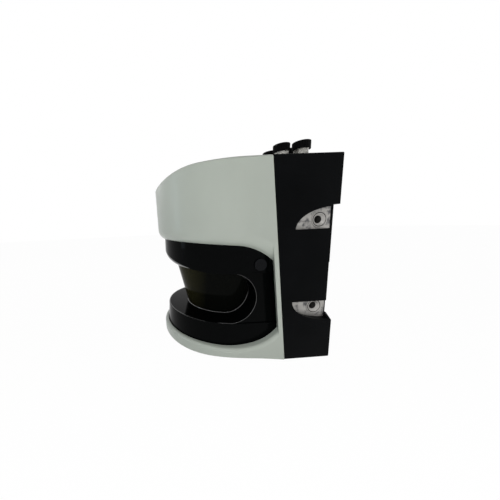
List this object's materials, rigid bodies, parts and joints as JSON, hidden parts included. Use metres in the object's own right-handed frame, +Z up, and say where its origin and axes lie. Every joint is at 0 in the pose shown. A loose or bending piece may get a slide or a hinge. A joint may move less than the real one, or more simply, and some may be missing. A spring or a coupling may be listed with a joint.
{
  "type": "lidar sensor",
  "caption": "Safety laser scanner with a pale hood, a black scan groove round a tapered window, a spinning mirror and a black rear casting with side mounting holes.",
  "frame": {"origin": "on the mirror's turning axis, at the plane of the foot", "axes": "+Z up along the mirror's axis, -Y to the front that scans, +Y to the mounting side, +X to the side seen in the picture"},
  "size_m": [0.16, 0.159, 0.2004],
  "materials": {
    "hood_plastic": "satin",
    "black_casting": "satin paint",
    "black_gloss": "gloss",
    "black_matte": "matt",
    "window_tint": "gloss, dark and see-through",
    "dark_lens": "gloss",
    "seal_rubber": "matt",
    "steel": "plain",
    "plain_aluminium": "machined",
    "copper_wire": "enamelled",
    "magnet": "plain",
    "clear_lens": "polished",
    "mirror_coat": "polished",
    "board_green": "satin",
    "nickel": "plated"
  },
  "bodies": {
    "scanner": {"base_plate": "black_matte", "base_screw_front_left": "steel", "base_screw_front_right": "steel", "base_screw_mid_left": "steel", "base_screw_mid_right": "steel", "base_screw_rear_left": "steel", "base_screw_rear_right": "steel", "bearing_lower": "steel", "bearing_upper": "steel", "chassis_plate": "plain_aluminium", "chassis_screw_front_left": "steel", "chassis_screw_front_right": "steel", "chassis_screw_rear_left": "steel", "chassis_screw_rear_right": "steel", "connector_network": "nickel", "connector_power": "nickel", "connector_service": "nickel", "connector_signal": "nickel", "detector": "steel", "encoder_sensor": "black_matte", "hood": "hood_plastic", "hood_gasket": "seal_rubber", "hood_screw_left": "steel", "hood_screw_right": "steel", "insert_network": "black_matte", "insert_power": "black_matte", "insert_service": "black_matte", "insert_signal": "black_matte", "laser_module": "plain_aluminium", "lens_tube": "plain_aluminium", "main_board": "board_green", "motor_can": "steel", "motor_coils": "copper_wire", "motor_lid": "steel", "mount_bush_lower_left": "steel", "mount_bush_lower_right": "steel", "mount_bush_upper_left": "steel", "mount_bush_upper_right": "steel", "optics_frame": "black_gloss", "power_board": "board_green", "rear_housing": "black_casting", "receiver_board": "board_green", "receiver_lens": "clear_lens", "side_lens_left": "dark_lens", "side_lens_right": "dark_lens", "window": "window_tint", "window_clamp": "plain_aluminium", "window_seal": "seal_rubber"},
    "mirror_rotor": {"motor_shaft": "steel", "rotor_magnet": "magnet", "encoder_disc": "plain_aluminium", "mirror_carrier": "plain_aluminium", "scan_mirror": "mirror_coat"},
    "cap_network": {"cap_network": "black_matte"},
    "cap_power": {"cap_power": "black_matte"},
    "cap_service": {"cap_service": "black_matte"},
    "cap_signal": {"cap_signal": "black_matte"}
  },
  "joints": [
    {"name": "mirror_spin", "type": "hinge", "parent": "scanner", "child": "mirror_rotor", "pos_m": [0, 0, 0.062], "axis": [0, 0, 1], "continuous": true},
    {"name": "cap_network_lift", "type": "slide", "parent": "scanner", "child": "cap_network", "axis": [0, 0, 1], "range_m": [0, 0.02]},
    {"name": "cap_power_lift", "type": "slide", "parent": "scanner", "child": "cap_power", "axis": [0, 0, 1], "range_m": [0, 0.02]},
    {"name": "cap_service_lift", "type": "slide", "parent": "scanner", "child": "cap_service", "axis": [0, 0, 1], "range_m": [0, 0.02]},
    {"name": "cap_signal_lift", "type": "slide", "parent": "scanner", "child": "cap_signal", "axis": [0, 0, 1], "range_m": [0, 0.02]}
  ]
}
